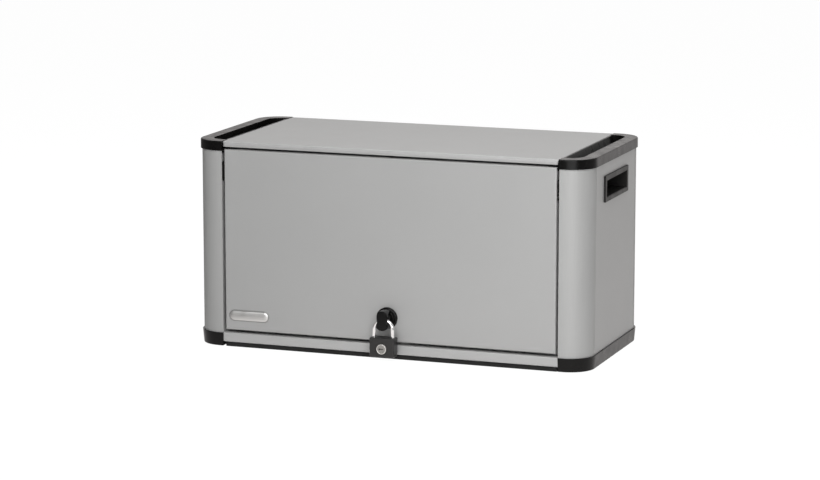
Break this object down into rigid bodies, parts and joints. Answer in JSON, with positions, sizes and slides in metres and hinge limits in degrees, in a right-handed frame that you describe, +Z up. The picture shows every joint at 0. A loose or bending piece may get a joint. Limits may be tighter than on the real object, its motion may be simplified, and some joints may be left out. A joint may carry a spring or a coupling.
{
  "type": "cell phone locker box",
  "caption": "Silver steel locker box with rounded corner columns, black moulded end caps, a top-hung door, a padlocked turn lock and a rack of phone slots.",
  "frame": {"origin": "on the surface that the box stands on, under the middle of the cabinet", "axes": "+X to the right as seen from the front, along the cabinet's width; +Y to the back; +Z up. The door's face is at y = -0.150"},
  "size_m": [0.6694, 0.3309, 0.3369],
  "materials": {
    "silver_paint": "fine satin silver powder coat",
    "inner_steel": "plain grey paint inside the box",
    "black_plastic": "moulded black, fine grain",
    "divider_plastic": "dark grey sheet",
    "rubber": "matt black rubber",
    "lock_black": "semi-gloss black die casting",
    "zinc_steel": "zinc plated",
    "badge_metal": "blank brushed plate",
    "padlock_charcoal": "charcoal enamel",
    "bright_chrome": "polished",
    "plug_metal": "satin nickel"
  },
  "bodies": {
    "cabinet": {"column_front_left": "silver_paint", "column_front_right": "silver_paint", "column_rear_left": "silver_paint", "column_rear_right": "silver_paint", "side_panel_left": "silver_paint", "side_panel_right": "silver_paint", "side_liner_left": "inner_steel", "side_liner_right": "inner_steel", "top_cap_left": "black_plastic", "top_cap_right": "black_plastic", "bottom_cap_left": "black_plastic", "bottom_cap_right": "black_plastic", "handle_cup_left": "black_plastic", "handle_cup_right": "black_plastic", "hinge_block_left": "black_plastic", "hinge_block_right": "black_plastic", "top_panel": "silver_paint", "top_stiffeners": "inner_steel", "back_panel": "silver_paint", "base_pan": "silver_paint", "skid_frame": "rubber", "lock_strike": "inner_steel", "rack_tray": "inner_steel", "rack_dividers": "divider_plastic", "back_screws": "zinc_steel", "base_screws": "zinc_steel"},
    "door": {"door_panel": "silver_paint", "door_liner": "inner_steel", "door_stiffener": "inner_steel", "door_bumpers": "rubber", "badge_plate": "badge_metal", "lock_housing": "lock_black", "lock_nut": "zinc_steel", "hinge_pin_left": "zinc_steel", "hinge_pin_right": "zinc_steel"},
    "knob": {"hasp_knob": "lock_black", "lock_cam": "zinc_steel", "cam_nut": "zinc_steel"},
    "shackle": {"padlock_shackle": "bright_chrome"},
    "padlock": {"padlock_body": "padlock_charcoal"},
    "plug": {"padlock_plug": "plug_metal"}
  },
  "joints": [
    {"name": "door_swing", "type": "hinge", "parent": "cabinet", "child": "door", "pos_m": [0, -0.143, 0.296], "axis": [-1, 0, 0], "range_deg": [0, 95]},
    {"name": "lock_turn", "type": "hinge", "parent": "door", "child": "knob", "pos_m": [0, -0.15, 0.067], "axis": [0, 1, 0], "range_deg": [0, 90]},
    {"name": "padlock_swing", "type": "hinge", "parent": "knob", "child": "shackle", "pos_m": [0, -0.168, 0.067], "axis": [-1, 0, 0], "range_deg": [-6, 60]},
    {"name": "padlock_release", "type": "slide", "parent": "shackle", "child": "padlock", "axis": [0, 0, -1], "range_m": [0, 0.007]},
    {"name": "key_turn", "type": "hinge", "parent": "padlock", "child": "plug", "pos_m": [0, -0.178, 0.0215], "axis": [0, 1, 0], "range_deg": [0, 90]}
  ]
}
